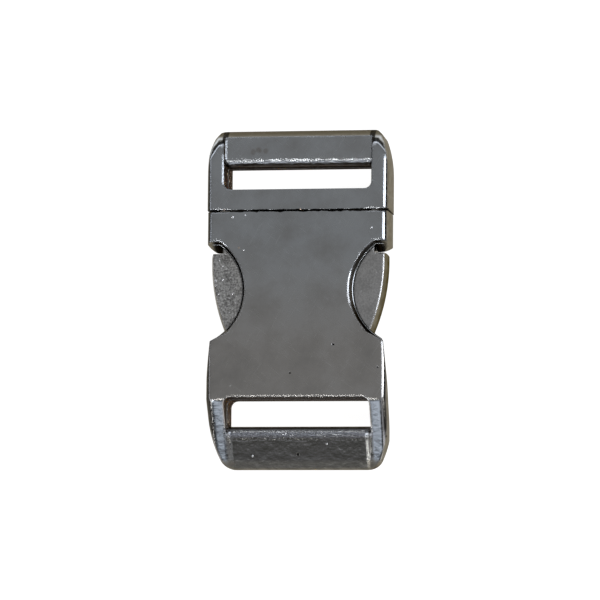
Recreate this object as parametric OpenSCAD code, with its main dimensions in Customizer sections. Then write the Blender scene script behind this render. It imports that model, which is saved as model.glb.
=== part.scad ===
// Side release buckle of die-cast metal for 25 mm webbing, fastened and lying on its back.
// The origin is the middle of the underside, +Z points up out of the flat top face,
// +Y points along the buckle towards the plug's strap bar.

/* [Overall] */
// Length over both strap ends
overall_length = 58.4; // [57.6:0.2:60]
// Width at the parting line, halfway up
overall_width = 31.6; // [31.4:0.1:32]
// Height of the flat top face over the underside
overall_height = 9.4; // [9:0.1:10]
// Rounding of the plug's end corners, seen from above
plug_corner_r = 2.3; // [1.6:0.1:2.6]
// Rounding of the tail's end corners, seen from above
tail_corner_r = 2.8; // [2:0.1:3.4]
// Lean of the housing's flanks above and below the parting line, in degrees
flank_draft = 4; // [3:1:8]
// Lean of the plug's flanks, in degrees
plug_draft = 2; // [1:1:5]
// Rounding of the long edges of the top and bottom faces
edge_r = 1.15; // [0.8:0.05:1.3]

/* [Plug] */
// Half width of the plug at the parting line
plug_half = 15.65; // [15.6:0.05:15.8]
// Place of the plug's face at the seam, along the buckle
plug_face_y = 14.9; // [14.8:0.05:15]
// Place of the edge of the plug's strap slot that is nearer the seam
plug_slot_y = 18.45; // [18.4:0.05:18.6]
// Clear width of the plug's strap slot along the buckle
plug_slot_gap = 4.2; // [4.1:0.1:4.5]
// Height of the plug's strap bar
plug_bar_top = 8; // [7.6:0.1:8.3]
// Height of the underside of the plug's strap bar
plug_bar_bottom = 2; // [1.5:0.1:2.5]
// Rounding of the plug's end, seen from the side
plug_nose_r = 5; // [4:0.5:5]
// Half width of the centre tongue
tongue_half = 3; // [2.6:0.1:3.2]
// Place of the tip of the centre tongue
tongue_tip_y = -4; // [-5:0.5:-2]

/* [Housing] */
// Place of the housing's rim at the seam
housing_rim_y = 14.6; // [14.5:0.05:14.7]
// Thickness of the top and bottom plates
plate_t = 1.7; // [1.6:0.05:1.8]
// Half width of the hollow between the mouth walls
mouth_half = 13.4; // [13.3:0.1:13.6]
// Place of the lower end of the mouth walls at the parting line
wall_end_y = 7.95; // [7.9:0.05:8.1]
// Place of the upper end of the side windows at the top face
window_top_y = 9.5; // [9.3:0.1:9.8]
// Radius of the side windows in the top face
window_r = 10.3; // [10:0.1:10.5]
// Half width that is left of the top face between the side windows
waist_half = 8.95; // [8.8:0.05:9.2]
// Place of the narrowest part of the waist
waist_y = 1.2; // [1:0.1:1.5]
// Corner of the top face below each window, across and along
tail_corner = [14.85, -7.6];
// Place of the housing's wall at the strap slot
tail_slot_y = -17.25; // [-17.5:0.05:-17]
// Clear width of the housing's strap slot along the buckle
tail_slot_gap = 4.7; // [4.5:0.1:5]
// Fall of the tail's rails towards their end, in degrees
tail_slope = 33; // [31:0.5:34]
// Half width of the tail at the parting line
tail_half = 15.5; // [15.4:0.05:15.7]

/* [Straps] */
// Clear width between the plug's rails, for the webbing
plug_strap_width = 25.5; // [25.2:0.1:25.8]
// Clear width between the tail's rails, for the webbing
tail_strap_width = 25.1; // [25:0.1:25.4]
// Rounding of the strap slots' corners, seen from above
slot_corner_r = 1.2; // [0.8:0.1:1.5]

/* [Levers] */
// Place of each lever's pivot across the buckle
pivot_x = 9.8; // [9.7:0.1:10]
// Place of each lever's pivot along the buckle
pivot_y = 15.9; // [15.8:0.05:16]
// Radius of the pivot pins
pin_r = 0.8; // [0.7:0.05:0.85]
// Thickness of the levers
lever_t = 5.2; // [5:0.1:5.3]
// Half width over the two levers at their shoulders
shoulder_half = 15.4; // [15:0.1:15.5]
// Place of the shoulders that hook behind the mouth walls
shoulder_y = 7.6; // [7.5:0.05:7.7]
// Radius of the levers' outer edge, seen from above
lever_edge_r = 32; // [30:1:36]

/* [Springs] */
// Place of the two return springs along the buckle
spring_y = 4.5; // [4:0.25:5]
// Radius of the return springs' centre line
spring_r = 1.15; // [1.1:0.05:1.2]
// Radius of the return springs' wire
wire_r = 0.2; // [0.15:0.01:0.22]
// Turns of each return spring
spring_turns = 7; // [5:1:8]

/* [Hidden] */

half_l = overall_length / 2;
half_w = overall_width / 2;
mid_z = overall_height / 2;

// Reach of the cutting bodies past the buckle, and the sides of its small round parts
far = 60;
over = 1;
round_sides = 48;

// Outlines of the strap ends, seen from above: half width, where the side starts to curve,
// radius of that curve and radius of the corner
plug_plan = [plug_half, 21, 20, plug_corner_r];
tail_plan = [tail_half, 20, 19, tail_corner_r];
seam_y = (plug_face_y + housing_rim_y) / 2;
taper_y = -5;

// Flat band round the parting line
parting_flat = 0.7;

// Fall of the top face at the four corners, seen along the diagonals
corner_fall_r = 3.4;

// Tail, seen from the side
tail_start_y = -17.3;
tail_blend_r = 1.5;
tail_nose_r = 1;
tail_blend_end = [
    tail_start_y - tail_blend_r * sin(tail_slope),
    overall_height - tail_blend_r * (1 - cos(tail_slope))
];
tail_nose_y = -half_l + tail_nose_r;
tail_nose_z = tail_rail_z(tail_nose_y) - tail_nose_r / cos(tail_slope);
foot_r = 1.2;

// Rounding of the tail's long edges, square to its slope
tail_edge_r = 1.9;
tail_edge_half = half_w + 0.05;
tail_edge_lift = 0.02;

// Strap bars, seen from the side
plug_bar_y = plug_slot_y + plug_slot_gap;
plug_bar_top_r = 1.5;
plug_bar_bottom_r = 1;
tail_bar_y = tail_slot_y - tail_slot_gap;
tail_bar_drop = 1.45;
tail_bar_end_z = 1.3;
tail_bar_bottom = 0.4;
tail_bar_r = 0.8;
tail_bar_start_y = tail_bar_y - tail_bar_r;
tail_bar_top_z = tail_rail_z(tail_bar_y) - tail_bar_drop;
tail_bar_fall = atan((tail_bar_top_z - tail_bar_end_z) / (tail_bar_start_y + half_l + over));
bar_fillet_r = 1.3;
bar_fillet_root = 0.3;

// Thumb bevel under each lower corner of the windows
bevel_y = -8;
bevel_top_y = bevel_y + 3;
bevel_x = tail_corner[0] - 0.8;
bevel_end_y = -20.5;
bevel_lean = atan(0.2);
bevel_flare = atan((tail_half - bevel_x) / (bevel_y - bevel_end_y));

// Side windows
window_x = waist_half + window_r;
window_lean = 0.42;
window_depth = plate_t + 0.2;
run_start = [window_x - window_r * cos(45), waist_y - window_r * sin(45)];
run_end = 2 * tail_corner - run_start;
pocket_end_y = tail_corner[1] - 0.1;
wall_corner_r = 2;
pocket_half = 12.6;
well_end_y = -15.5;

// Levers and what carries them
lever_z = mid_z - lever_t / 2;
eye_r = 1.55;
eye_root = eye_r - 0.15;
neck_half = mouth_half - 0.3;
neck_start_y = pivot_y - 2.6;
shoulder_r = 0.6;
lever_draft = 0.6;
lever_edge_x = shoulder_half - lever_edge_r;
lever_edge_y = shoulder_y - 1.2;
lever_edge_spare = 0.4;
lever_flat = lever_t / 2 - 0.25;
lever_edge_sides = 180;
tip_y = -7.3;
tip_angle = -asin((lever_edge_y - tip_y - 0.9) / lever_edge_r);
lever_inner_side = [[11, tip_y], [9.6, tip_y], [7.8, -2.5], [7.6, 3], [8.2, 12]];
pin_bore_gap = 0.01;
eye_bore_gap = 0.06;
pin_bottom_z = 0.25;
pin_top_z = 8;
eye_room = 0.25;
eye_side_room = 0.55;
eye_pocket_z = plate_t + 0.1;
tongue_z = plate_t + 0.25;
tongue_tip_half = tongue_half - 1.2;
tongue_taper = 1.5;
tongue_root_half = 6.6;
tongue_root_y = 12;
spring_seat_r = 1.65;
spring_tongue_x = tongue_half - 0.8;
spring_lever_x = 8.3;
seat_gap = 0.05;
steps_per_turn = 12;
wire_sides = 6;

function arc(cx, cy, r, from, to, steps) = [
    for (i = [0:steps])
        let (a = from + (to - from) * i / steps)
            [cx + r * cos(a), cy + r * sin(a)]
];

function backwards(points) = [for (i = [len(points) - 1:-1:0]) points[i]];

function flip_x(points) = backwards([for (p = points) [-p[0], p[1]]]);

function flip_y(points, middle) = backwards([for (p = points) [p[0], 2 * middle - p[1]]]);

function tail_rail_z(y) = tail_blend_end[1] - (tail_blend_end[0] - y) * tan(tail_slope);

// Middle of the end corner of a plan
function corner_centre(plan) =
    let (y = half_l - plan[3])
        [plan[0] - plan[2] + sqrt(pow(plan[2] - plan[3], 2) - pow(y - plan[1], 2)), y];

// One quarter of the outline seen from above, from the side to the strap end
function plan_quarter(plan) =
    let (
        side_x = plan[0] - plan[2],
        corner = corner_centre(plan),
        turn = atan2(corner[1] - plan[1], corner[0] - side_x)
    )
    concat(
        arc(side_x, plan[1], plan[2], 0, turn, 8),
        arc(corner[0], corner[1], plan[3], turn, 90, 8)
    );

// One quarter of the section, from the parting line to the flat face, with flanks that lean by draft
function section_quarter(draft) =
    let (
        rise = overall_height - edge_r + edge_r * sin(draft) - mid_z - parting_flat / 2,
        top_half = half_w - rise * tan(draft) - edge_r * cos(draft)
    )
    concat(
        [[half_w, mid_z + parting_flat / 2]],
        arc(top_half, overall_height - edge_r, edge_r, draft, 90, 6)
    );

// One quarter of the section along a diagonal, out to the corner of a plan
function diagonal_quarter(plan) =
    let (corner = corner_centre(plan), reach = (corner[0] + corner[1]) / sqrt(2) + plan[3])
    concat(
        [[reach, mid_z]],
        arc(reach - corner_fall_r, overall_height - corner_fall_r, corner_fall_r, 0, 90, 8)
    );

// Closed outline, the same on both sides, from its upper and its lower quarter on the right
function whole_outline(upper, lower) = concat(lower, upper, flip_x(upper), flip_x(lower));

// The buckle seen from the side: plug end, flat top, sloping tail, flat underside
function side_outline() = concat(
    arc(half_l - foot_r, foot_r, foot_r, -90, 0, 5),
    arc(half_l - plug_nose_r, overall_height - plug_nose_r, plug_nose_r, 0, 90, 12),
    arc(tail_start_y, overall_height - tail_blend_r, tail_blend_r, 90, 90 + tail_slope, 6),
    arc(tail_nose_y, tail_nose_z, tail_nose_r, 90 + tail_slope, 180, 6),
    arc(-half_l + foot_r, foot_r, foot_r, 180, 270, 5)
);

// Lays a drawing of (along, up) across the buckle, between two places
module across(from_x, to_x) {
    translate([from_x, 0, 0])
        rotate([90, 0, 90])
            linear_extrude(to_x - from_x) children();
}

// Lays a drawing of (across, up) along the whole buckle
module along() {
    translate([0, far / 2, 0])
        rotate([90, 0, 0])
            linear_extrude(far) children();
}

// Everything but the top of one end corner of a plan
module corner_fall(plan) {
    edge = diagonal_quarter(plan);
    along() polygon(concat([[-far, -over], [edge[0][0], -over]], edge, [[-far, overall_height]]));
}

// The outer form that both castings are cut from, with flanks that lean by draft
module blank(draft) {
    upper = concat(
        [[half_w, taper_y], [half_w, seam_y], [plug_half, seam_y]],
        plan_quarter(plug_plan)
    );
    intersection() {
        linear_extrude(overall_height) polygon(whole_outline(upper, flip_y(plan_quarter(tail_plan), 0)));
        along() polygon(whole_outline(section_quarter(draft), flip_y(section_quarter(draft), mid_z)));
        across(-far / 2, far / 2) polygon(side_outline());
        rotate([0, 0, 45]) corner_fall(plug_plan);
        rotate([0, 0, 135]) corner_fall(plug_plan);
        rotate([0, 0, -45]) corner_fall(tail_plan);
        rotate([0, 0, -135]) corner_fall(tail_plan);
    }
}

module stretch(from_y, to_y) {
    translate([-far / 2, from_y, -over]) cube([far, to_y - from_y, overall_height + 2 * over]);
}

// The part of the plan that a strap opening takes away, with rounded inner corners
module strap_plan(inner_y, outward) {
    r = slot_corner_r;
    half = (outward > 0 ? plug_strap_width : tail_strap_width) / 2;
    side = concat(
        arc(half - r, inner_y + outward * r, r, -90 * outward, 0, 5),
        [[half, outward * (half_l + over)]]
    );
    translate([0, 0, -over])
        linear_extrude(overall_height + 2 * over) polygon(concat(side, flip_x(side)));
}

// Clears everything between the rails except the strap bar, whose section is the child
module strap_opening(inner_y, outward) {
    intersection() {
        strap_plan(inner_y, outward);
        across(-far / 2, far / 2) difference() {
            translate([outward > 0 ? inner_y - over : -far / 2, -over])
                square([far / 2 - abs(inner_y) + over, overall_height + 2 * over]);
            children();
        }
    }
}

module plug_bar_section() {
    top_r = plug_bar_top_r;
    bottom_r = plug_bar_bottom_r;
    polygon(concat(
        arc(plug_bar_y + top_r, plug_bar_top - top_r, top_r, 90, 180, 8),
        arc(plug_bar_y + bottom_r, plug_bar_bottom + bottom_r, bottom_r, 180, 270, 6),
        [[half_l + over, plug_bar_bottom], [half_l + over, plug_bar_top]]
    ));
}

module tail_bar_section() {
    r = tail_bar_r;
    polygon(concat(
        arc(tail_bar_start_y, tail_bar_top_z - r, r, 90, 0, 6),
        arc(tail_bar_start_y, tail_bar_bottom + r, r, 0, -90, 6),
        [[-half_l - over, tail_bar_bottom], [-half_l - over, tail_bar_end_z]]
    ));
}

// Fillet between the tail's strap bar and the right rail
module bar_fillet() {
    r = bar_fillet_r;
    root = bar_fillet_root;
    translate([tail_strap_width / 2, tail_bar_start_y, tail_bar_top_z])
        rotate([90 + tail_bar_fall, 0, 0])
            linear_extrude(far / 4) polygon(backwards(concat(
                arc(-r, r, r, -90, 0, 6),
                [[root, r], [root, -root], [-r, -root]]
            )));
}

// Everything under the slope of the tail, whose long edges are well rounded
module tail_edges() {
    r = tail_edge_r;
    edge = arc(tail_edge_half - r, -r, r, 0, 90, 9);
    translate([0, tail_blend_end[0], tail_blend_end[1] + tail_edge_lift])
        rotate([90 + tail_slope, 0, 0])
            translate([0, 0, -far])
                linear_extrude(2 * far) polygon(concat(
                    [[tail_edge_half, -far]], edge, flip_x(edge), [[-tail_edge_half, -far]]
                ));
}

module pivot_at() {
    translate([pivot_x, pivot_y, 0]) children();
}

module both_sides() {
    children();
    mirror([1, 0, 0]) children();
}

module spring_seat(from_x, to_x) {
    translate([from_x, spring_y, mid_z])
        rotate([0, 90, 0]) cylinder(h = to_x - from_x, r = spring_seat_r, $fn = round_sides);
}

// Where a lever's eye and neck turn inside the plug's band
module eye_pocket() {
    from_x = pivot_x - eye_r - eye_side_room;
    from_y = plug_face_y - over;
    back_y = pivot_y + eye_r + eye_room;
    translate([from_x, from_y, eye_pocket_z])
        cube([mouth_half - from_x, back_y - from_y, overall_height - 2 * eye_pocket_z]);
}

module tongue() {
    side = [
        [tongue_tip_half, tongue_tip_y],
        [tongue_half, tongue_tip_y + tongue_taper],
        [tongue_half, tongue_root_y - tongue_taper],
        [tongue_root_half, tongue_root_y],
        [tongue_root_half, plug_face_y + 0.5]
    ];
    difference() {
        translate([0, 0, tongue_z])
            linear_extrude(overall_height - 2 * tongue_z) polygon(concat(side, flip_x(side)));
        both_sides() spring_seat(spring_tongue_x, tongue_half + over);
    }
}

module plug() {
    color("#6a6e72") {
        difference() {
            intersection() {
                blank(plug_draft);
                stretch(plug_face_y, half_l + over);
            }
            strap_opening(plug_slot_y, 1) plug_bar_section();
            both_sides() {
                eye_pocket();
                pivot_at() translate([0, 0, -over])
                    cylinder(h = pin_top_z + over, r = pin_r + pin_bore_gap, $fn = round_sides);
            }
        }
        tongue();
    }
}

// Everything below the sloping ends of the mouth walls
module window_reach() {
    rise = (window_top_y - wall_end_y) / mid_z;
    outer_y = wall_end_y + rise * (mid_z + over);
    top_z = overall_height + over;
    across(0, far / 2) polygon([
        [-far / 2, -over], [outer_y, -over], [wall_end_y, mid_z], [outer_y, top_z], [-far / 2, top_z]
    ]);
}

// The window in one plate: a round cut with a drafted wall, that ends below in a short straight run
module plate_window() {
    intersection() {
        translate([window_x, waist_y, overall_height - window_depth]) cylinder(
            h = window_depth + over,
            r1 = window_r - window_lean * window_depth,
            r2 = window_r + window_lean * over,
            $fn = 2 * round_sides
        );
        linear_extrude(2 * overall_height) polygon([
            [0, -far / 2], [run_start[0], -far / 2], run_start, run_end, [run_end[0], far / 2], [0, far / 2]
        ]);
    }
}

module side_window() {
    intersection() {
        window_reach();
        union() {
            plate_window();
            translate([0, 0, 2 * mid_z]) mirror([0, 0, 1]) plate_window();
            translate([tongue_half, pocket_end_y, plate_t])
                cube([far / 2, far / 3, overall_height - 2 * plate_t]);
        }
    }
}

// Rounds the outer corner at the lower end of a mouth wall
module wall_corner() {
    x = half_w - wall_corner_r;
    y = wall_end_y + wall_corner_r;
    translate([0, 0, -over]) linear_extrude(overall_height + 2 * over) polygon(concat(
        arc(x, y, wall_corner_r, -90, 0, 8),
        [[half_w + over, y], [half_w + over, wall_end_y - over], [x, wall_end_y - over]]
    ));
}

// Slanting cut that lets a thumb in under each lower corner of the windows
module thumb_bevel() {
    intersection() {
        translate([tail_half, bevel_end_y, mid_z])
            rotate([0, bevel_lean, bevel_flare])
                translate([0, -far / 2, -far / 2]) cube([far / 4, far, far]);
        stretch(-half_l, bevel_top_y);
    }
}

module hollow() {
    side = [
        [pocket_half, well_end_y],
        [pocket_half, tail_corner[1]],
        [mouth_half, tail_corner[1]],
        [mouth_half, housing_rim_y + over]
    ];
    translate([0, 0, plate_t])
        linear_extrude(overall_height - 2 * plate_t) polygon(concat(side, flip_x(side)));
}

module housing() {
    color("#66686a") difference() {
        intersection() {
            blank(flank_draft);
            stretch(-half_l - over, housing_rim_y);
            tail_edges();
        }
        difference() {
            strap_opening(tail_slot_y, -1) tail_bar_section();
            both_sides() bar_fillet();
        }
        hollow();
        both_sides() {
            side_window();
            wall_corner();
            thumb_bevel();
        }
    }
}

// One lever seen from above: eye, neck, shoulder and tip, with room past its curved outer edge
module lever_plan() {
    union() {
        pivot_at() circle(r = eye_r, $fn = round_sides);
        polygon(backwards(concat(
            [[pivot_x + eye_root, pivot_y], [neck_half, neck_start_y], [neck_half, shoulder_y]],
            arc(shoulder_half - shoulder_r, shoulder_y - shoulder_r, shoulder_r, 90, 10, 6),
            arc(lever_edge_x, lever_edge_y, lever_edge_r + lever_edge_spare, -1, tip_angle, 8),
            lever_inner_side,
            [[pivot_x - eye_root, pivot_y]]
        )));
    }
}

// Round body whose rim gives the lever's curved edge, with a small draft above and below
module lever_rim() {
    translate([lever_edge_x, lever_edge_y, lever_z]) rotate_extrude($fn = lever_edge_sides) polygon([
        [0, 0], [lever_edge_r - lever_draft, 0], [lever_edge_r, lever_flat],
        [lever_edge_r, lever_t - lever_flat], [lever_edge_r - lever_draft, lever_t], [0, lever_t]
    ]);
}

module lever() {
    difference() {
        intersection() {
            translate([0, 0, lever_z]) linear_extrude(lever_t) lever_plan();
            lever_rim();
        }
        pivot_at() translate([0, 0, -over])
            cylinder(h = overall_height + 2 * over, r = pin_r + eye_bore_gap, $fn = round_sides);
        spring_seat(tongue_half, spring_lever_x);
    }
}

module right_lever() {
    color("#7b7874") lever();
}

module left_lever() {
    color("#7b7874") mirror([1, 0, 0]) lever();
}

module pin() {
    pivot_at() translate([0, 0, pin_bottom_z])
        cylinder(h = pin_top_z - pin_bottom_z, r = pin_r, $fn = round_sides);
}

module right_pin() {
    color("#8a8d90") pin();
}

module left_pin() {
    color("#8a8d90") mirror([1, 0, 0]) pin();
}

// Coil spring along X, a round wire swept along a helix in short straight pieces
module spring() {
    start_x = spring_tongue_x + seat_gap + wire_r;
    reach = spring_lever_x - seat_gap - wire_r - start_x;
    rings = steps_per_turn * spring_turns;
    sides = wire_sides;
    points = [
        for (i = [0:rings], j = [0:sides - 1])
            let (
                turn = 360 * i / steps_per_turn,
                around = 360 * j / sides,
                x = start_x + reach * i / rings + wire_r * sin(around),
                r = spring_r + wire_r * cos(around)
            ) [x, spring_y + r * cos(turn), mid_z + r * sin(turn)]
    ];
    walls = [
        for (i = [0:rings - 1], j = [0:sides - 1])
            let (next = (j + 1) % sides)
                [i * sides + next, (i + 1) * sides + next, (i + 1) * sides + j, i * sides + j]
    ];
    ends = [[for (j = [sides - 1:-1:0]) j], [for (j = [0:sides - 1]) rings * sides + j]];
    polyhedron(points, concat(walls, ends));
}

module right_spring() {
    color("#a8a9aa") spring();
}

module left_spring() {
    color("#a8a9aa") mirror([1, 0, 0]) spring();
}

housing();
plug();
left_lever();
right_lever();
left_pin();
right_pin();
left_spring();
right_spring();
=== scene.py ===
import math
import bmesh
import bpy
from mathutils import Matrix, Vector


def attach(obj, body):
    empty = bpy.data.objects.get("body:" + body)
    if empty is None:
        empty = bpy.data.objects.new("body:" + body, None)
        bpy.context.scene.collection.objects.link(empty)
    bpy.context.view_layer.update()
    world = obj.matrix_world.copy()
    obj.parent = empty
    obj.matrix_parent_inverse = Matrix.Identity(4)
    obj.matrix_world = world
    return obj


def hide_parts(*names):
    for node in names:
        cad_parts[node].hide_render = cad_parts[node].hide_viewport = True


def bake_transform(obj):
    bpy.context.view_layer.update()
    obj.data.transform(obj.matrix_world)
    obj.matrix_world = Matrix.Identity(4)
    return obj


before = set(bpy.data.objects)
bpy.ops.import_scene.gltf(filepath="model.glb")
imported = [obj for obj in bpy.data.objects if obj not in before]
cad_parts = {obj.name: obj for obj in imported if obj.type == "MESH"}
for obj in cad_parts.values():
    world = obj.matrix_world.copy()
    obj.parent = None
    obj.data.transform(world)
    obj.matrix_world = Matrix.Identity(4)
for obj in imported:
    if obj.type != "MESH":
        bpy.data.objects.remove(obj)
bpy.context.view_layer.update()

scene = bpy.context.scene
mm = 0.001
bevelSamples = 8  # rays that find the rounded edges of each material
print("frame loaded:", sorted(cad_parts))


# Colours are written as sRGB hex and turned to linear here
def hexLinear(code):
    channels = [int(code[i:i + 2], 16) / 255 for i in (1, 3, 5)]
    return tuple(c / 12.92 if c <= 0.04045 else ((c + 0.055) / 1.055) ** 2.4 for c in channels) + (1.0,)


# Adds one node and returns its outputs. Settings are its own properties, colour stops or socket values;
# links are the sockets that it reads.
def addNode(tree, kind, settings=None, links=None):
    node = tree.nodes.new(kind)
    for name, value in (settings or {}).items():
        if name == "stops":
            while len(node.color_ramp.elements) < len(value):
                node.color_ramp.elements.new(1.0)
            for element, (place, colour) in zip(node.color_ramp.elements, value):
                element.position = place
                element.color = colour
        elif isinstance(name, str) and name in node.bl_rna.properties:
            setattr(node, name, value)
        else:
            node.inputs[name].default_value = value
    for name, source in (links or {}).items():
        tree.links.new(source, node.inputs[name])
    return node.outputs


def newMaterial(name):
    material = bpy.data.materials.new(name)
    material.use_nodes = True
    material.node_tree.nodes.clear()
    return material, material.node_tree


# The place on a piece, in mm
def placeInMm(tree):
    place = addNode(tree, "ShaderNodeTexCoord")["Object"]
    return addNode(tree, "ShaderNodeVectorMath", {"operation": "SCALE", "Scale": 1 / mm}, {0: place})[0]


# How far a rounded surface faces up or down: 1 where it lies flat and 0 where it stands upright
def facingOf(tree, normal):
    upward = addNode(tree, "ShaderNodeSeparateXYZ", links={0: normal})[2]
    return addNode(tree, "ShaderNodeMath", {"operation": "ABSOLUTE"}, {0: upward})[0]


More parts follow.
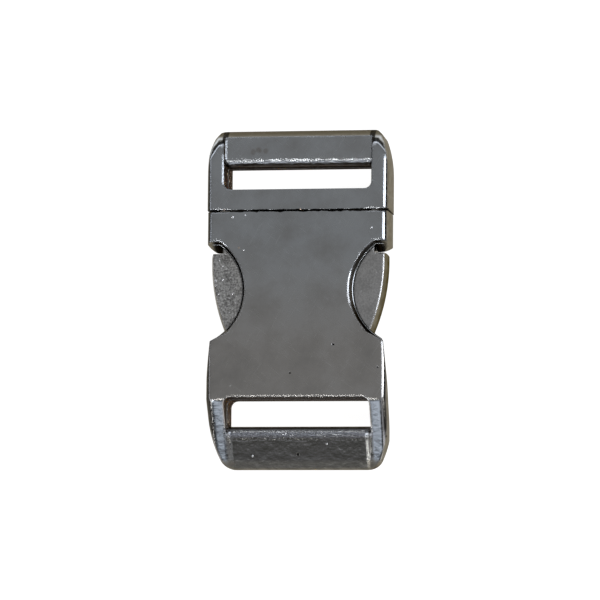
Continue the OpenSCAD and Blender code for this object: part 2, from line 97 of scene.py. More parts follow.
# Zinc die casting under bright dark-nickel plate: a grey mirror that is soft with polishing haze on the flat
# faces, sharper on the rounded edges and dull on the flanks, which are painted olive as a painted reflection,
# with drag marks, plating pips painted white as painted glints, painted shade along the seam, in the slots,
# windows and creases, and a cast orange peel on the tail bar
castingLook = {
    "softEdge": 0.7,        # mm, how far the tumbling has softened each edge
    "crispEdge": 0.08,      # mm, where the two halves meet and at the plug's slot
    # each noise: its size in mm, detail and roughness
    "noises": {
        "mottle": (7.0, 6.0, 0.65),
        "peel": (0.9, 2.0, 0.5),
        "barPeel": (1.3, 3.0, 0.55),
        "grit": (0.22, 2.0, 0.5),
        "waves": (5.0, 2.0, 0.5),
    },
    # each line that a mask follows: what it is measured along and where it lies, in mm
    "lines": {
        "fromBand": ("along", 16.6),
        "fromGroove": ("sideways", 12.75),
        "fromSlotEdge": ("along", -17.1),
        "fromMiddle": ("up", 4.7),
        "fromLip": ("fromMiddle", 3.3),
        "fromSeam": ("along", 14.75),
    },
    # masks by place: what is measured, where the mask is 0 and where it is 1, in mm
    "placeMasks": {
        "offBand": ("fromBand", 2.2, 3.2),
        "onSide": ("sideways", 11.2, 12.2),
        "outermost": ("sideways", 13.9, 14.5),
        "atEnds": ("endways", 27.4, 28.0),
        "atPlugEnd": ("along", 27.6, 28.4),
        "betweenRails": ("sideways", 13.4, 12.9),
        "pastPlates": ("endways", 16.6, 17.1),
        "onRail": ("sideways", 13.6, 14.2),
        "offCorner": ("endways", 25.0, 22.5),
        "inside": ("sideways", 13.0, 12.5),
        "tailward": ("along", -22.1, -22.4),
        "nearSlot": ("along", -24.0, -23.4),
        "grooveLine": ("fromGroove", 0.55, 0.40),
        "plugward": ("along", 22.2, 22.6),
        "slotLine": ("fromSlotEdge", 0.6, 0.45),
        "slopeStart": ("along", -17.4, -17.9),
        "windowSide": ("sideways", 14.9, 14.4),
        "atWaist": ("endways", 10.2, 9.8),
        "partingLine": ("fromMiddle", 0.20, 0.10),
        "barEdge": ("endways", 24.6, 24.1),
        "pastSlot": ("endways", 21.7, 22.1),
    },
    # masks by slope: how far the surface faces up where the mask is 0 and where it is 1
    "slopeMasks": {
        "steep": (0.72, 0.5),
        "bent": (0.93, 0.78),
        "upright": (0.35, 0.15),
        "turning": (0.84, 0.76),
        "notSteep": (0.42, 0.62),
        "dipping": (0.93, 0.80),
        "overSlope": (0.80, 0.825),
        "underSlope": (0.93, 0.88),
        "turned": (0.80, 0.60),
    },
    "lipWidth": 0.28,       # mm, half the lip that the mould left low on the windows' walls
    # each region is where all its masks meet
    "regions": {
        "side": ("outermost", "steep"),                         # the outer flanks
        "nose": ("atEnds", "bent"),                             # the flanks of both ends
        "plugNose": ("atPlugEnd", "nose"),
        "walls": ("betweenRails", "pastPlates", "upright"),     # of the strap slots, painted dark: painted shade
        "shoulder": ("onRail", "turning", "notSteep", "offCorner"),     # the outer edges as they turn down, painted dark: a painted dark reflection
        "onBar": ("inside", "tailward"),                        # the tail bar, left as cast
        "barHighlightStrip": ("onBar", "nearSlot"),                       # its upper strip, painted lighter where it lies flatter: painted highlight
        "grooveShade": ("grooveLine", "plugward", "dipping"),        # painted shade in the crease beside the plug's bar
        "slotEdge": ("slotLine", "dipping", "inside"),          # of the tail's slot, its rounded edge painted darker to dim its highlight: painted shade
        "slope": ("slopeStart", "overSlope", "underSlope"),     # the tail's rails, where they slope down, painted darker and bluer: a painted reflection of the cool light they face
        "window": ("windowSide", "atWaist", "turned"),          # the walls of the side windows, painted dark: painted shade
        "lip": ("lipLine", "window"),
        "parting": ("partingLine", "walls"),
        "wavyEdge": ("barEdge", "pastSlot", "inside"),          # the inner edges of both strap bars
    },
    # painted reflection: the plate is painted cool towards the plug and warmer towards the tail, for the
    # cooler and warmer surroundings it reflects
    "coolPlate": "#c4c8cb",
    "warmPlate": "#c3c0bc",
    "coolFrom": 14.0,       # mm
    "warmFrom": -12.0,      # mm
    "warmthDrift": 0.5,
    "cloudDepth": 0.5,
    "cloudSpan": (0.40, 0.75),  # heights of the noise where clouds start and are full
    "patchSpan": (0.38, 0.62),  # the same for the patches of the flanks' painted olive reflection
    # the flanks are painted olive: a painted reflection of the olive surroundings they face
    "flankDark": "#7a7568",
    "flankPlate": "#8f897c",
    # tones by region, each over the ones before it; the flanks' olive is the two flank tones in patches, a
    # painted reflection of olive surroundings
    "tones": [
        ("clouds", "#8c8b88"),
        # painted reflection: the tail rails' sloping tops darker and bluer
        ("slope", "#888d90"),
        # painted shade: the tail bar painted darker, for its slope away from the light
        ("onBar", "#6c6b67"),
        # painted highlight on the tail bar's flatter upper strip
        ("barHighlightStrip", "#8f9194"),
        # painted reflection: the outer flanks and both ends' flanks painted olive
        ("flank", "paintedOlive"),
        # painted shade: the plug end's curved flanks painted darker
        ("plugNose", "#6d685c"),
        # painted dark reflection along the outer edges where they turn down
        ("shoulder", "#45433f"),
        # painted shade in the crease beside the plug's bar
        ("grooveShade", "#383735"),
        # painted shade: the tail slot's rounded edge darker, dimming its highlight
        ("slotEdge", "#8f8e8c"),
        # painted shade on the strap slots' upright walls
        ("walls", "#6e6257"),
        # painted shade on the side windows' walls
        ("window", "#4a4846"),
        ("parting", "#c4c8cb"),
        ("lip", "#c4c8cb"),
        # painted shade along the seam between housing and plug
        ("seamShade", "#1d1b19"),
        ("faintScratches", "#e9ebee"),
        ("pits", "#2b2a29"),
        # painted glints: the raised pips are painted white
        ("pips", "#ffffff"),
    ],
    "grazingTint": "#6b6450",
    # painted reflection: the flanks' reflections are tinted olive as well
    "flankTint": "#aca79c",
    # painted shade: a dark reflection tint on the slots' walls
    "wallShadeTint": "#26221e",
    "seamShadeWidth": (0.25, 0.18),  # mm to each side of the seam, where the painted shade ends and where it is full
    "seamShadeRagged": 0.10,    # mm
    "seamShadeSpan": (0.3, 0.7),    # heights of the noise where the painted shade reaches furthest out and furthest in
    # hairlines from handling: turn in radians and shift in mm of each set
    "scratchSets": [(0.5, 0.0), (-0.9, 40.0)],
    "scratchWidth": 0.27,   # mm, the noise across them, coarser than real hairlines so that they show
    "scratchLength": 5.0,   # mm
    "scratchDepth": 20.0,   # mm, far more than the buckle is thick, so that they run on over its edges
    "scratchLevel": 0.71,   # the height of the noise along which they run
    "scratchBand": 0.015,   # how far to each side of that height they reach
    "scratchTone": 0.15,    # how strongly they lighten the plate
    "pipSpacing": 4.0,      # mm
    "pipSize": (0.05, 0.03),    # in spacings, where a pip or pit ends and where it is full
    "pitShare": 0.38,
    "pipShare": 0.3,
    "pipsFrom": -22.0,      # mm, no pips on the bar left as cast
    "rippleLength": 2.2,    # mm
    "rippleAcross": 1.4,    # per mm
    "calmRoll": 0.25,       # what is left of the rolling where the edge starts to turn
    "rollSpan": (0.80, 0.72),   # how far the surface faces up where it is calm and where it rolls in full
    # heights in mm
    "heights": {
        "flatPeel": 0.012,
        "grit": 0.0012,
        "barSkin": 0.065,
        "lip": 0.25,
        "ripple": 0.14,
        "roll": 0.10,
        "scratches": -0.0012,
        "pits": -0.08,
        "pips": 0.05,
    },
    "markEdge": (1.5, 1.1),     # where a mark ends and where it is full, in radii, with the peel added
    # place across and along in mm, radius in mm, height in mm (below zero for a pit), strength, colour
    "marks": [
        (-7.9, 25.1, 0.55, 0.0, 0.3, "#7c6a58"),
        (-6.9, 25.4, 0.60, 0.0, 0.35, "#7c6a58"),
        (-5.7, 25.3, 0.50, 0.0, 0.3, "#7c6a58"),
        (6.4, -8.3, 0.22, -0.05, 1.0, "#2b2a29"),
        (14.0, -12.2, 0.20, -0.05, 1.0, "#2b2a29"),
        (-11.2, 13.7, 0.22, 0.04, 1.0, "#ffffff"),
        (-9.0, 14.0, 0.16, 0.03, 1.0, "#ffffff"),
        (-10.0, 8.4, 0.20, 0.03, 0.8, "#d8c9b8"),
        (-9.2, 8.0, 0.16, 0.03, 0.8, "#ffffff"),
        (-12.6, 14.9, 0.22, 0.05, 1.0, "#f0d8c4"),
        (0.6, 14.9, 0.22, 0.05, 1.0, "#f0d8c4"),
        (-0.4, -26.6, 0.30, -0.10, 1.0, "#2b2a29"),
        (4.7, -24.9, 0.18, 0.08, 0.8, "#ffffff"),
        (-8.3, -26.9, 0.18, 0.08, 0.8, "#ffffff"),
    ],
    "hazeSpan": (0.93, 0.998),  # how far the surface faces up where it is glossy and where it is hazy
    "edgeGloss": 0.10,
    "haze": 0.24,
    "hazeDrift": 0.06,
    "flankHaze": 0.45,
    "scratchHaze": 0.12,
    "barHaze": 0.04,
}


# Where a point lies and how its surface faces: the measures, the masks and the regions of the look.
# Returns them by name, with the softened normal.
def castingRegions(tree, place, look):
    across, along, up = addNode(tree, "ShaderNodeSeparateXYZ", links={0: place})
    at = {"across": across, "along": along, "up": up}
    for name, source in (("sideways", across), ("endways", along)):
        at[name] = addNode(tree, "ShaderNodeMath", {"operation": "ABSOLUTE"}, {0: source})[0]
    for name, (measure, middle) in look["lines"].items():
        offset = addNode(tree, "ShaderNodeMath", {"operation": "SUBTRACT", 1: middle}, {0: at[measure]})[0]
        at[name] = addNode(tree, "ShaderNodeMath", {"operation": "ABSOLUTE"}, {0: offset})[0]
    for name, (measure, none, full) in look["placeMasks"].items():
        ends = {"From Min": none, "From Max": full}
        at[name] = addNode(tree, "ShaderNodeMapRange", ends, {"Value": at[measure]})[0]
    lipEnds = {"interpolation_type": "SMOOTHSTEP", "From Min": look["lipWidth"], "From Max": 0.0}
    at["lipLine"] = addNode(tree, "ShaderNodeMapRange", lipEnds, {"Value": at["fromLip"]})[0]

    soft = addNode(tree, "ShaderNodeMath", {"operation": "MAXIMUM"}, {0: at["offBand"], 1: at["onSide"]})[0]
    radii = {"To Min": look["crispEdge"] * mm, "To Max": look["softEdge"] * mm}
    radius = addNode(tree, "ShaderNodeMapRange", radii, {"Value": soft})[0]
    normal = addNode(tree, "ShaderNodeBevel", {"samples": bevelSamples}, {"Radius": radius})[0]
    at["facing"] = facingOf(tree, normal)
    for name, (none, full) in look["slopeMasks"].items():
        ends = {"From Min": none, "From Max": full}
        at[name] = addNode(tree, "ShaderNodeMapRange", ends, {"Value": at["facing"]})[0]

    for name, (first, *others) in look["regions"].items():
        region = at[first]
        for other in others:
            region = addNode(tree, "ShaderNodeMath", {"operation": "MULTIPLY"}, {0: region, 1: at[other]})[0]
        at[name] = region
    either = (("flank", "side", "nose"), ("unscratched", "onBar", "walls"), ("dull", "flank", "walls"))
    for name, first, second in either:
        at[name] = addNode(tree, "ShaderNodeMath", {"operation": "MAXIMUM"}, {0: at[first], 1: at[second]})[0]
    return at, normal


# Hairlines from handling, in two directions, off the bar and the slots' walls
def addScratches(tree, place, at, look):
    before = {}
    for turn, shift in look["scratchSets"]:
        turning = {"Rotation": (0, 0, turn), "Location": (shift, shift, 0)}
        turned = addNode(tree, "ShaderNodeMapping", turning, {0: place})[0]
        sizes = (look["scratchWidth"], look["scratchLength"], look["scratchDepth"])
        stretching = {"Scale": tuple(1 / size for size in sizes)}
        stretched = addNode(tree, "ShaderNodeMapping", stretching, {0: turned})[0]
        streak = addNode(tree, "ShaderNodeTexNoise", {"Scale": 1.0, "Detail": 1.0}, {"Vector": stretched})[0]
        levelling = {"operation": "SUBTRACT", 1: look["scratchLevel"]}
        offLine = addNode(tree, "ShaderNodeMath", levelling, {0: streak})[0]
        offLine = addNode(tree, "ShaderNodeMath", {"operation": "ABSOLUTE"}, {0: offLine})[0]
        ends = {"From Min": look["scratchBand"], "From Max": 0.0}
        line = addNode(tree, "ShaderNodeMapRange", ends, {"Value": offLine})[0]
        lines = addNode(tree, "ShaderNodeMath", {"operation": "MAXIMUM", 0: 0.0}, {1: line, **before})[0]
        before = {0: lines}
    bare = addNode(tree, "ShaderNodeMath", {"operation": "SUBTRACT", 0: 1.0}, {1: at["unscratched"]})[0]
    at["scratches"] = addNode(tree, "ShaderNodeMath", {"operation": "MULTIPLY"}, {0: lines, 1: bare})[0]
    fading = {"operation": "MULTIPLY", 1: look["scratchTone"]}
    at["faintScratches"] = addNode(tree, "ShaderNodeMath", fading, {0: at["scratches"]})[0]


# Small pits and plating pips, one in a few cells
def addPitsAndPips(tree, place, at, look):
    cells = addNode(tree, "ShaderNodeTexVoronoi", {"Scale": 1 / look["pipSpacing"]}, {"Vector": place})
    rim, top = look["pipSize"]
    ends = {"From Min": rim, "From Max": top}
    spot = addNode(tree, "ShaderNodeMapRange", ends, {"Value": cells["Distance"]})[0]
    share = addNode(tree, "ShaderNodeSeparateColor", links={0: cells["Color"]})[0]
    choosing = {"operation": "GREATER_THAN", 1: 1 - look["pitShare"]}
    pitted = addNode(tree, "ShaderNodeMath", choosing, {0: share})[0]
    raised = addNode(tree, "ShaderNodeMath", {"operation": "LESS_THAN", 1: look["pipShare"]}, {0: share})[0]
    keeping = {"operation": "GREATER_THAN", 1: look["pipsFrom"]}
    offBar = addNode(tree, "ShaderNodeMath", keeping, {0: at["along"]})[0]
    raised = addNode(tree, "ShaderNodeMath", {"operation": "MULTIPLY"}, {0: raised, 1: offBar})[0]
    for name, chosen in (("pits", pitted), ("pips", raised)):
        at[name] = addNode(tree, "ShaderNodeMath", {"operation": "MULTIPLY"}, {0: spot, 1: chosen})[0]


# The layers of height that aren't a mask: the peel of the flat faces, the bar's coarse skin, the wavy inner
# edges of both bars and the slow roll of the outer edges
def addRelief(tree, place, at, look):
    flat = addNode(tree, "ShaderNodeMath", {"operation": "SUBTRACT", 0: 1.0}, {1: at["window"]})[0]
    sizes = {"Scale": (1 / look["rippleLength"], look["rippleAcross"], look["rippleAcross"])}
    stretched = addNode(tree, "ShaderNodeMapping", sizes, {0: place})[0]
    waviness = {"Scale": 1.0, "Detail": 3.0, "Roughness": 0.6}
    ripples = addNode(tree, "ShaderNodeTexNoise", waviness, {"Vector": stretched})[0]
    calm, full = look["rollSpan"]
    calming = {"From Min": calm, "From Max": full, "To Min": look["calmRoll"]}
    rolling = addNode(tree, "ShaderNodeMapRange", calming, {"Value": at["facing"]})[0]
    rolling = addNode(tree, "ShaderNodeMath", {"operation": "MULTIPLY"}, {0: at["onRail"], 1: rolling})[0]
    level = []
    for source in (ripples, at["waves"]):
        level.append(addNode(tree, "ShaderNodeMath", {"operation": "SUBTRACT", 1: 0.5}, {0: source})[0])
    layers = (
        ("flatPeel", flat, at["peel"]), ("barSkin", at["onBar"], at["barPeel"]),
        ("ripple", level[0], at["wavyEdge"]), ("roll", level[1], rolling))
    for name, first, second in layers:
        at[name] = addNode(tree, "ShaderNodeMath", {"operation": "MULTIPLY"}, {0: first, 1: second})[0]


# Painted shade in the seam: darkness laid unevenly along the gap between housing and plug
def addSeamShade(tree, at, look):
    reach = look["seamShadeRagged"]
    low, high = look["seamShadeSpan"]
    raggedness = {"From Min": low, "From Max": high, "To Min": -reach, "To Max": reach}
    ragged = addNode(tree, "ShaderNodeMapRange", raggedness, {"Value": at["peel"]})[0]
    off = addNode(tree, "ShaderNodeMath", {"operation": "ADD"}, {0: at["fromSeam"], 1: ragged})[0]
    end, full = look["seamShadeWidth"]
    at["seamShade"] = addNode(tree, "ShaderNodeMapRange", {"From Min": end, "From Max": full}, {"Value": off})[0]


# The plate's tone, painted cool to warm along the buckle as a painted reflection, with the tones that lie in
# clouds, and the flanks' painted olive reflection in patches
def plateTone(tree, at, look):
    span = {"interpolation_type": "SMOOTHSTEP", "From Min": look["coolFrom"], "From Max": look["warmFrom"]}
    gradient = addNode(tree, "ShaderNodeMapRange", span, {"Value": at["along"]})[0]
    drifting = {"To Min": -look["warmthDrift"], "To Max": look["warmthDrift"]}
    drift = addNode(tree, "ShaderNodeMapRange", drifting, {"Value": at["mottle"]})[0]
    clamped = {"operation": "ADD", "use_clamp": True}
    warmth = addNode(tree, "ShaderNodeMath", clamped, {0: gradient, 1: drift})[0]
    start, full = look["cloudSpan"]
    clouding = {"From Min": start, "From Max": full, "To Max": look["cloudDepth"]}
    at["clouds"] = addNode(tree, "ShaderNodeMapRange", clouding, {"Value": at["mottle"]})[0]
    start, full = look["patchSpan"]
    patches = {"From Min": start, "From Max": full}
    patchy = addNode(tree, "ShaderNodeMapRange", patches, {"Value": at["barPeel"]})[0]
    flanks = {"data_type": "RGBA", 6: hexLinear(look["flankDark"]), 7: hexLinear(look["flankPlate"])}
    at["paintedOlive"] = addNode(tree, "ShaderNodeMix", flanks, {0: patchy})[2]
    plates = {"data_type": "RGBA", 6: hexLinear(look["coolPlate"]), 7: hexLinear(look["warmPlate"])}
    return addNode(tree, "ShaderNodeMix", plates, {0: warmth})[2]


def platedCasting(name, look):
    material, tree = newMaterial(name)
    place = placeInMm(tree)
    at, normal = castingRegions(tree, place, look)
    for noise, (size, detail, roughness) in look["noises"].items():
        sizes = {"Scale": 1 / size, "Detail": detail, "Roughness": roughness}
        at[noise] = addNode(tree, "ShaderNodeTexNoise", sizes, {"Vector": place})[0]
    addScratches(tree, place, at, look)
    addPitsAndPips(tree, place, at, look)
    addRelief(tree, place, at, look)
    addSeamShade(tree, at, look)

    tone = plateTone(tree, at, look)
    for mask, colour in look["tones"]:
        settings = {"data_type": "RGBA"}
        links = {0: at[mask], 6: tone}
        if colour in at:
            links[7] = at[colour]
        else:
            settings[7] = hexLinear(colour)
        tone = addNode(tree, "ShaderNodeMix", settings, links)[2]
    below = {}
    for layer, amount in look["heights"].items():
        adding = {"operation": "MULTIPLY_ADD", 1: amount, 2: 0.0}
        height = addNode(tree, "ShaderNodeMath", adding, {0: at[layer], **below})[0]
        below = {2: height}

    # the single marks that show in daylight: specks, pits and one brown smudge; the white and pale specks are
    # painted glints on raised specks
    rim, core = look["markEdge"]
    flat = addNode(tree, "ShaderNodeCombineXYZ", {2: 0.0}, {0: at["across"], 1: at["along"]})[0]
    for x, y, size, rise, strength, colour in look["marks"]:
        reaching = {"operation": "DISTANCE", 1: (x, y, 0.0)}
        away = addNode(tree, "ShaderNodeVectorMath", reaching, {0: flat})["Value"]
        roughening = {"operation": "MULTIPLY_ADD", 1: size}
        ragged = addNode(tree, "ShaderNodeMath", roughening, {0: at["peel"], 2: away})[0]
        ends = {"From Min": rim * size, "From Max": core * size, "To Max": strength}
        mark = addNode(tree, "ShaderNodeMapRange", ends, {"Value": ragged})[0]
        marking = {"data_type": "RGBA", 7: hexLinear(colour)}
        tone = addNode(tree, "ShaderNodeMix", marking, {0: mark, 6: tone})[2]
        raising = {"operation": "MULTIPLY_ADD", 1: rise}
        height = addNode(tree, "ShaderNodeMath", raising, {0: mark, 2: height})[0]

    # polished faces carry haze, flanks are dull, edges keep the plate's full gloss
    low, high = look["hazeSpan"]
    hazing = {"From Min": low, "From Max": high, "To Min": look["edgeGloss"], "To Max": look["haze"]}
    level = addNode(tree, "ShaderNodeMapRange", hazing, {"Value": at["facing"]})[0]
    drifting = {"To Min": -look["hazeDrift"], "To Max": look["hazeDrift"]}
    cloudy = addNode(tree, "ShaderNodeMapRange", drifting, {"Value": at["mottle"]})[0]
    rough = addNode(tree, "ShaderNodeMath", {"operation": "ADD"}, {0: level, 1: cloudy})[0]
    for mask, amount in (("scratches", look["scratchHaze"]), ("onBar", look["barHaze"])):
        adding = {"operation": "MULTIPLY_ADD", 1: amount}
        rough = addNode(tree, "ShaderNodeMath", adding, {0: at[mask], 2: rough})[0]
    dulling = {"data_type": "FLOAT", 3: look["flankHaze"]}
    rough = addNode(tree, "ShaderNodeMix", dulling, {0: at["dull"], 2: rough})[0]

    # painted reflection: the flanks' reflections tinted olive
    tints = {"data_type": "RGBA", 6: hexLinear(look["grazingTint"]), 7: hexLinear(look["flankTint"])}
    tint = addNode(tree, "ShaderNodeMix", tints, {0: at["flank"]})[2]
    # painted shade: the slots' walls get a dark reflection tint
    shading = {"data_type": "RGBA", 7: hexLinear(look["wallShadeTint"])}
    tint = addNode(tree, "ShaderNodeMix", shading, {0: at["walls"], 6: tint})[2]
    relief = {"Height": height, "Normal": normal}
    bump = addNode(tree, "ShaderNodeBump", {"Strength": 1.0, "Distance": mm}, relief)[0]
    surface = {"Base Color": tone, "Roughness": rough, "Specular Tint": tint, "Normal": bump}
    shader = addNode(tree, "ShaderNodeBsdfPrincipled", {"Metallic": 1.0}, surface)[0]
    addNode(tree, "ShaderNodeOutputMaterial", links={"Surface": shader})
    return material


# Lever faces were plated over the sandy skin of the mould: a dull grey with raised, glossier specks painted
# white as painted glints, bright edges, and flanks painted olive as a painted reflection. The left one came
# from a rougher mould than the right one.
leverPlate = {
    # painted reflection: the flanks are painted olive for the olive surroundings they reflect
    "flank": "#8c887d",
    "flankDark": "#77736a",
    # painted glints: the raised specks are painted white
    "speck": "#ffffff",
    "grazingTint": "#807a6c",
    "grain": 0.30,      # mm
    "broad": 2.0,       # mm, the slow change of tone
    "broadShare": 0.5,
    "softEdge": 0.5,    # mm
    "flatSpan": (0.90, 0.995),  # how far the surface faces up where the sandy skin starts and is full
    "flankSpan": (0.65, 0.45),  # the same for the flanks
    "skinSpan": (0.60, 0.90),   # heights of the noise where the dark skin ends and the light one is full
    "flankPatchSpan": (0.36, 0.64),   # the same for the patches of the flanks' painted olive
    "speckSize": (0.30, 0.12),  # in spacings, where a speck ends and where it is full
    "speckRise": 0.5,
    "speckGloss": -0.2,
}
leverLooks = {
    "platedZincSandCast": {
        **leverPlate,
        "skin": "#e0dfdc",
        "dark": "#858381",
        "speckSpacing": 0.60,   # mm
        "speckShare": 0.25,
        "depth": 0.075,         # mm
        "roughness": 0.36,
        "edgeGloss": 0.14,
    },
    "platedZincFineCast": {
        **leverPlate,
        "skin": "#cbcac8",
        "dark": "#b0afad",
        "speckSpacing": 0.90,   # mm
        "speckShare": 0.12,
        "depth": 0.03,          # mm
        "roughness": 0.34,
        "edgeGloss": 0.12,
    },
}


def sandCast(name, look):
    material, tree = newMaterial(name)
    place = placeInMm(tree)
    edges = {"samples": bevelSamples, "Radius": look["softEdge"] * mm}
    normal = addNode(tree, "ShaderNodeBevel", edges)[0]
    facing = facingOf(tree, normal)
    grains = {"Scale": 1 / look["grain"], "Detail": 3.0, "Roughness": 0.6}
    grain = addNode(tree, "ShaderNodeTexNoise", grains, {"Vector": place})[0]
    slow = {"Scale": 1 / look["broad"], "Detail": 3.0}
    broad = addNode(tree, "ShaderNodeTexNoise", slow, {"Vector": place})[0]
    mixing = {"operation": "MULTIPLY_ADD", 1: look["broadShare"]}
    shade = addNode(tree, "ShaderNodeMath", mixing, {0: broad, 2: grain})[0]
    cells = addNode(tree, "ShaderNodeTexVoronoi", {"Scale": 1 / look["speckSpacing"]}, {"Vector": place})

    masks = []
    spans = (
        (facing, "flatSpan"), (facing, "flankSpan"), (shade, "skinSpan"), (broad, "flankPatchSpan"),
        (cells["Distance"], "speckSize"))
    for source, span in spans:
        none, full = look[span]
        ends = {"From Min": none, "From Max": full}
        masks.append(addNode(tree, "ShaderNodeMapRange", ends, {"Value": source})[0])
    flat, flank, light, flankPatches, specks = masks

    # specks in a share of the cells, on the flat faces only: raised, glossier and painted white as painted
    # glints
    share = addNode(tree, "ShaderNodeSeparateColor", links={0: cells["Color"]})[0]
    chosen = addNode(tree, "ShaderNodeMath", {"operation": "LESS_THAN", 1: look["speckShare"]}, {0: share})[0]
    for mask in (chosen, flat):
        specks = addNode(tree, "ShaderNodeMath", {"operation": "MULTIPLY"}, {0: specks, 1: mask})[0]

    skins = {"data_type": "RGBA", 6: hexLinear(look["dark"]), 7: hexLinear(look["skin"])}
    tone = addNode(tree, "ShaderNodeMix", skins, {0: light})[2]
    specking = {"data_type": "RGBA", 7: hexLinear(look["speck"])}
    tone = addNode(tree, "ShaderNodeMix", specking, {0: specks, 6: tone})[2]
    # painted reflection: olive flanks in patches
    flanks = {"data_type": "RGBA", 6: hexLinear(look["flankDark"]), 7: hexLinear(look["flank"])}
    paintedOlive = addNode(tree, "ShaderNodeMix", flanks, {0: flankPatches})[2]
    tone = addNode(tree, "ShaderNodeMix", {"data_type": "RGBA"}, {0: flank, 6: tone, 7: paintedOlive})[2]

    glossing = {"To Min": look["edgeGloss"], "To Max": look["roughness"]}
    rough = addNode(tree, "ShaderNodeMapRange", glossing, {"Value": flat})[0]
    shining = {"operation": "MULTIPLY_ADD", 1: look["speckGloss"]}
    rough = addNode(tree, "ShaderNodeMath", shining, {0: specks, 2: rough})[0]
    raising = {"operation": "MULTIPLY_ADD", 1: look["speckRise"]}
    bumpy = addNode(tree, "ShaderNodeMath", raising, {0: specks, 2: grain})[0]
    bumpy = addNode(tree, "ShaderNodeMath", {"operation": "MULTIPLY"}, {0: bumpy, 1: flat})[0]
    height = addNode(tree, "ShaderNodeMath", {"operation": "MULTIPLY", 1: look["depth"]}, {0: bumpy})[0]
    relief = {"Height": height, "Normal": normal}
    bump = addNode(tree, "ShaderNodeBump", {"Strength": 1.0, "Distance": mm}, relief)[0]
    metal = {"Metallic": 1.0, "Specular Tint": hexLinear(look["grazingTint"])}
    surface = {"Base Color": tone, "Roughness": rough, "Normal": bump}
    shader = addNode(tree, "ShaderNodeBsdfPrincipled", metal, surface)[0]
    addNode(tree, "ShaderNodeOutputMaterial", links={"Surface": shader})
    return material


# Drawn steel of the pins and the spring wire: grey, with fine lines that stretch its highlights
drawnLines = {
    "lineTone": "#d9dadb",
    "gloss": (0.22, 0.42),
    "lineLength": 5.0,      # mm
    "lineDepth": 0.02,      # mm
    "lineStrength": 0.4,
}
steelLooks = {
    "drawnSteelPin": {**drawnLines, "tone": "#a3a5a8", "lineSize": 0.06},  # mm
    "drawnSteelSpringWire": {**drawnLines, "tone": "#8d9093", "lineSize": 0.05},  # mm
}


def drawnSteel(name, look):
    material, tree = newMaterial(name)
    squeezing = {"Scale": (1 / look["lineSize"], 1 / look["lineSize"], 1 / look["lineLength"])}
    squeezed = addNode(tree, "ShaderNodeMapping", squeezing, {0: placeInMm(tree)})[0]
    lines = addNode(tree, "ShaderNodeTexNoise", {"Scale": 1.0, "Detail": 2.0}, {"Vector": squeezed})[0]
    tones = {"data_type": "RGBA", 6: hexLinear(look["tone"]), 7: hexLinear(look["lineTone"])}
    tone = addNode(tree, "ShaderNodeMix", tones, {0: lines})[2]
    bright, dull = look["gloss"]
    rough = addNode(tree, "ShaderNodeMapRange", {"To Min": bright, "To Max": dull}, {"Value": lines})[0]
    depth = {"Strength": look["lineStrength"], "Distance": look["lineDepth"] * mm}
    bump = addNode(tree, "ShaderNodeBump", depth, {"Height": lines})[0]
    surface = {"Base Color": tone, "Roughness": rough, "Normal": bump}
    shader = addNode(tree, "ShaderNodeBsdfPrincipled", {"Metallic": 1.0}, surface)[0]
    addNode(tree, "ShaderNodeOutputMaterial", links={"Surface": shader})
    return material


platedZinc = platedCasting("platedZincPolished", castingLook)
sandyZinc = sandCast("platedZincSandCast", leverLooks["platedZincSandCast"])
fineZinc = sandCast("platedZincFineCast", leverLooks["platedZincFineCast"])
pinSteel = drawnSteel("drawnSteelPin", steelLooks["drawnSteelPin"])
springSteel = drawnSteel("drawnSteelSpringWire", steelLooks["drawnSteelSpringWire"])
print("materials made")


# Castings: a copy of each solid with its sharp edges rounded as the mould and the tumbling left them.
# Each rule is (kind of edge, rounding in mm, the box in mm that holds the edge's middle); the first that
# fits holds.
everywhere = ((-17, -30, -1), (17, 30, 10))
outerRounding = ("outward", 0.3, everywhere)
innerRounding = ("inward", 0.2, everywhere)
castings = {
    "housing": {
        "piece": "housingCasting", "body": "buckle", "slot": "plated_casting", "material": platedZinc,
        "rules": [
            innerRounding,
            ("outward", 0.10, ((-17, 14.0, -1), (17, 15.0, 10))),   # the seam
            outerRounding,
        ],
    },
    "plug": {
        "piece": "plugCasting", "body": "buckle", "slot": "plated_casting", "material": platedZinc,
        "rules": [
            innerRounding,
            ("outward", 0.10, ((-17, 14.0, -1), (17, 15.2, 10))),   # the seam
            ("outward", 0.10, ((-11.5, 18.0, 5), (11.5, 18.9, 10))),    # the slot's edge
            outerRounding,
        ],
    },
    "left_lever": {
        "piece": "leftLeverCasting", "body": "left_lever", "slot": "plated_rough_casting",
        "material": sandyZinc, "rules": [outerRounding],
    },
    "right_lever": {
        "piece": "rightLeverCasting", "body": "right_lever", "slot": "plated_rough_casting",
        "material": fineZinc, "rules": [outerRounding],
    },
}
roundingWork = {
    "widest": 0.3,      # mm
    "merge": 0.002,     # mm, closer points than this are one
    "flatAngle": 0.4,   # degrees, faces that meet under less are one
    "sharpAngle": 30,   # degrees, edges over this are rounded
    "segments": 3,
    "flatWeight": 60,   # how strongly the large faces hold the shading flat
}


def edgeRounding(edge, rules):
    kind = "outward" if edge.is_convex else "inward"
    middle = (edge.verts[0].co + edge.verts[1].co) / (2 * mm)
    for wanted, width, (low, high) in rules:
        if wanted == kind and all(low[i] <= middle[i] <= high[i] for i in range(3)):
            return width
    return 0.0


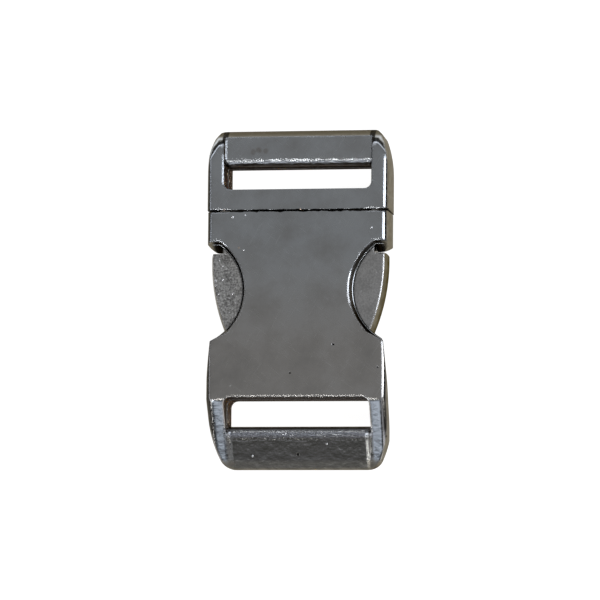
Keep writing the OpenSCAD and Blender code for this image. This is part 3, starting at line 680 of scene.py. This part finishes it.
def roundedCasting(node, settings, work):
    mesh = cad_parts[node].data.copy()
    mesh.materials.clear()
    mesh.materials.append(settings["material"])
    shape = bmesh.new()
    shape.from_mesh(mesh)
    bmesh.ops.remove_doubles(shape, verts=shape.verts, dist=work["merge"] * mm)
    flatAngle = math.radians(work["flatAngle"])
    bmesh.ops.dissolve_limit(shape, angle_limit=flatAngle, verts=shape.verts, edges=shape.edges)
    weight = shape.edges.layers.float.new("bevel_weight_edge")
    for edge in shape.edges:
        if len(edge.link_faces) == 2 and edge.calc_face_angle() > math.radians(work["sharpAngle"]):
            edge[weight] = edgeRounding(edge, settings["rules"]) / work["widest"]
    shape.to_mesh(mesh)
    shape.free()
    piece = bpy.data.objects.new(settings["piece"], mesh)
    scene.collection.objects.link(piece)
    rounding = piece.modifiers.new("Rounded edges", "BEVEL")
    rounding.limit_method = "WEIGHT"
    rounding.width = work["widest"] * mm
    rounding.segments = work["segments"]
    rounding.use_clamp_overlap = True
    rounding.loop_slide = True
    shading = piece.modifiers.new("Flat faces stay flat", "WEIGHTED_NORMAL")
    shading.keep_sharp = True
    shading.weight = work["flatWeight"]
    for polygon in mesh.polygons:
        polygon.use_smooth = True
    return piece


# Turns a piece and its modifiers into a plain mesh
def settle(piece):
    bpy.context.view_layer.update()
    graph = bpy.context.evaluated_depsgraph_get()
    source = piece.evaluated_get(graph)
    finished = bpy.data.meshes.new_from_object(source, preserve_all_data_layers=True, depsgraph=graph)
    piece.modifiers.clear()
    piece.data = finished
    return piece


for node, settings in castings.items():
    piece = settle(roundedCasting(node, settings, roundingWork))
    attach(piece, settings["body"])
    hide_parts(node)
    print("casting:", piece.name, len(piece.data.polygons), "faces")


# Return springs: a wire that follows a helix between the tongue and the lever
springSizes = {
    "turns": 7.0,
    "coilRadius": 1.15,     # mm
    "wireRadius": 0.2,      # mm
    "start": 2.48,          # mm from the middle, where the coil leaves the tongue
    "length": 5.54,         # mm
    "along": 4.5,           # mm
    "height": 4.7,          # mm
    "pointsPerTurn": 20,
    "wireSides": 8,
}


def springTree(sizes):
    tree = bpy.data.node_groups.new("springCoil", "GeometryNodeTree")
    tree.interface.new_socket("Geometry", in_out="OUTPUT", socket_type="NodeSocketGeometry")
    for label in ("Turns", "Coil Radius", "Wire Radius", "Length", "Start", "Along", "Height"):
        tree.interface.new_socket(label, in_out="INPUT", socket_type="NodeSocketFloat")
    given = addNode(tree, "NodeGroupInput")
    coil = {
        "Rotations": given["Turns"], "Start Radius": given["Coil Radius"],
        "End Radius": given["Coil Radius"], "Height": given["Length"]}
    spiral = addNode(tree, "GeometryNodeCurveSpiral", {"Resolution": sizes["pointsPerTurn"]}, coil)[0]
    ring = {"Resolution": sizes["wireSides"]}
    wire = addNode(tree, "GeometryNodeCurvePrimitiveCircle", ring, {"Radius": given["Wire Radius"]})[0]
    sweep = {"Curve": spiral, "Profile Curve": wire}
    swept = addNode(tree, "GeometryNodeCurveToMesh", {"Fill Caps": True}, sweep)[0]
    corner = {"X": given["Start"], "Y": given["Along"], "Z": given["Height"]}
    offset = addNode(tree, "ShaderNodeCombineXYZ", links=corner)[0]
    lying = {"Rotation": (0, math.pi / 2, 0)}
    laid = addNode(tree, "GeometryNodeTransform", lying, {"Geometry": swept, "Translation": offset})[0]
    smooth = addNode(tree, "GeometryNodeSetShadeSmooth", links={"Geometry": laid})[0]
    real = addNode(tree, "GeometryNodeRealizeInstances", links={"Geometry": smooth})[0]
    painted = addNode(tree, "GeometryNodeSetMaterial", {"Material": springSteel}, {"Geometry": real})[0]
    addNode(tree, "NodeGroupOutput", links={"Geometry": painted})
    return tree


def returnSpring(name, tree, sizes, side):
    piece = bpy.data.objects.new(name, bpy.data.meshes.new(name))
    scene.collection.objects.link(piece)
    coil = piece.modifiers.new("Coil", "NODES")
    coil.node_group = tree
    start = sizes["start"] if side > 0 else -sizes["start"] - sizes["length"]
    values = {
        "Turns": sizes["turns"],
        "Coil Radius": sizes["coilRadius"] * mm,
        "Wire Radius": sizes["wireRadius"] * mm,
        "Length": sizes["length"] * mm,
        "Start": start * mm,
        "Along": sizes["along"] * mm,
        "Height": sizes["height"] * mm,
    }
    for socket in tree.interface.items_tree:
        if socket.in_out == "INPUT":
            coil[socket.identifier] = values[socket.name]
    return settle(piece)


coilTree = springTree(springSizes)
for side, node, lever in ((1, "right_spring", "right_lever"), (-1, "left_spring", "left_lever")):
    spring = returnSpring(("right" if side > 0 else "left") + "ReturnSpring", coilTree, springSizes, side)
    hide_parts(node)
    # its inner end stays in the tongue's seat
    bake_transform(spring)
    print("spring:", spring.name, len(spring.data.polygons), "faces")

for node in ("left_pin", "right_pin"):
    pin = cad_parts[node]
    pin.data.materials.clear()
    pin.data.materials.append(pinSteel)
print("pins dressed")


# Floor, lights and camera
floorSettings = {
    "tone": "#8f8e8c",
    "shade": "#868583",
    "glow": 0.97,
    "roughness": 0.9,
    "size": 6.0,            # m
    "cells": 8,
    "drop": 0.05,           # mm below the buckle, so that it doesn't flicker through the underside
    "fibreScale": 900.0,    # per m
}


def makeFloor(settings):
    bpy.ops.mesh.primitive_grid_add(
        x_subdivisions=settings["cells"], y_subdivisions=settings["cells"], size=settings["size"],
        location=(0, 0, -settings["drop"] * mm))
    floor = bpy.context.object
    floor.name = "studioFloor"
    material, tree = newMaterial("paleSeamlessPaper")
    place = addNode(tree, "ShaderNodeTexCoord")["Object"]
    fibres = {"Scale": settings["fibreScale"], "Detail": 3.0}
    fibre = addNode(tree, "ShaderNodeTexNoise", fibres, {"Vector": place})[0]
    tones = {"data_type": "RGBA", 6: hexLinear(settings["shade"]), 7: hexLinear(settings["tone"])}
    tone = addNode(tree, "ShaderNodeMix", tones, {0: fibre})[2]
    paper = {
        "Roughness": settings["roughness"], "Emission Color": hexLinear("#ffffff"),
        "Emission Strength": settings["glow"]}
    shader = addNode(tree, "ShaderNodeBsdfPrincipled", paper, {"Base Color": tone})[0]
    addNode(tree, "ShaderNodeOutputMaterial", links={"Surface": shader})
    floor.data.materials.append(material)


# The sine of the height over the horizon, and the tone there: a pale room, a cove light, a grey ceiling
roomTones = [
    (0.0, (0.30, 0.29, 0.26, 1)),
    (0.10, (0.26, 0.25, 0.22, 1)),
    (0.16, (0.03, 0.03, 0.028, 1)),
    (0.455, (0.05, 0.05, 0.05, 1)),
    (0.475, (1.5, 1.55, 1.7, 1)),
    (0.520, (1.5, 1.55, 1.7, 1)),
    (0.540, (0.10, 0.10, 0.10, 1)),
    (0.60, (0.225, 0.228, 0.235, 1)),
    (1.0, (0.262, 0.264, 0.268, 1)),
]


def makeWorld(tones):
    world = bpy.data.worlds.new("softRoom")
    scene.world = world
    world.use_nodes = True
    tree = world.node_tree
    tree.nodes.clear()
    direction = addNode(tree, "ShaderNodeTexCoord")["Generated"]
    height = addNode(tree, "ShaderNodeSeparateXYZ", links={0: direction})[2]
    tone = addNode(tree, "ShaderNodeValToRGB", {"stops": tones}, {"Fac": height})[0]
    room = addNode(tree, "ShaderNodeBackground", {"Strength": 1.0}, {"Color": tone})[0]
    addNode(tree, "ShaderNodeOutputWorld", links={"Surface": room})


# Each softbox: its place and size in m, power in W and tint
softboxes = {
    "endBoxFar": ((-0.10, 0.80, 0.60), (0.50, 0.20), 0.12, "#f4f7ff"),
    "endBoxNear": ((-0.10, -0.50, 0.86), (0.36, 0.03), 0.5, "#ffffff"),
    "slopeBox": ((-0.12, -0.87, 0.52), (0.56, 0.26), 0.12, "#e8ebf8"),
    "sideBoxRight": ((0.66, 0.09, 0.68), (0.42, 0.40), 3.0, "#eef4ff"),
    "stripBoxLeft": ((-0.54, -0.78, 0.56), (0.06, 0.30), 0.7, "#f8faff"),
    "cornerBoxRight": ((0.62, -0.76, 0.32), (0.30, 0.20), 0.30, "#eef2ff"),
    "frontBoxLeft": ((-0.80, -0.66, 0.28), (0.20, 0.10), 0.9, "#f8faff"),
    "frontBoxRight": ((0.86, -0.48, 0.30), (0.20, 0.10), 0.9, "#f8faff"),
}
softboxAim = Vector((0, 0, 0.005))  # m


def addSoftbox(name, place, size, power, tint):
    lamp = bpy.data.lights.new(name, "AREA")
    lamp.shape = "RECTANGLE"
    lamp.size, lamp.size_y = size
    lamp.energy = power
    lamp.color = hexLinear(tint)[:3]
    holder = bpy.data.objects.new(name, lamp)
    scene.collection.objects.link(holder)
    turn = (softboxAim - Vector(place)).to_track_quat("-Z", "Y").to_matrix().to_4x4()
    holder.matrix_world = Matrix.Translation(Vector(place)) @ turn


cameraSettings = {
    "place": (88.0, -66.0, 600.0),  # mm
    "aim": (0.0, -0.2, 5.0),        # mm
    "roll": -0.0083,                # radians
    "focal": 3524.0,                # pixels of a frame that is frameWidth wide
    "frameWidth": 600,              # pixels
    "sensor": 36.0,                 # mm
    "near": 0.01,                   # m
    "far": 20,                      # m
}


def addCamera(settings):
    data = bpy.data.cameras.new("photoCamera")
    data.sensor_width = settings["sensor"]
    data.lens = settings["focal"] / settings["frameWidth"] * settings["sensor"]
    data.clip_start, data.clip_end = settings["near"], settings["far"]
    camera = bpy.data.objects.new("photoCamera", data)
    scene.collection.objects.link(camera)
    place = Vector(settings["place"]) * mm
    ahead = (Vector(settings["aim"]) * mm - place).normalized()
    rough = Vector((math.sin(settings["roll"]), math.cos(settings["roll"]), 0))
    side = ahead.cross(rough).normalized()
    upward = side.cross(ahead)
    turn = Matrix((side, upward, -ahead)).transposed()
    camera.matrix_world = Matrix.Translation(place) @ turn.to_4x4()
    scene.camera = camera


makeFloor(floorSettings)
makeWorld(roomTones)
for name, box in softboxes.items():
    addSoftbox(name, *box)
addCamera(cameraSettings)
scene.view_settings.view_transform = "Standard"
print("studio ready")
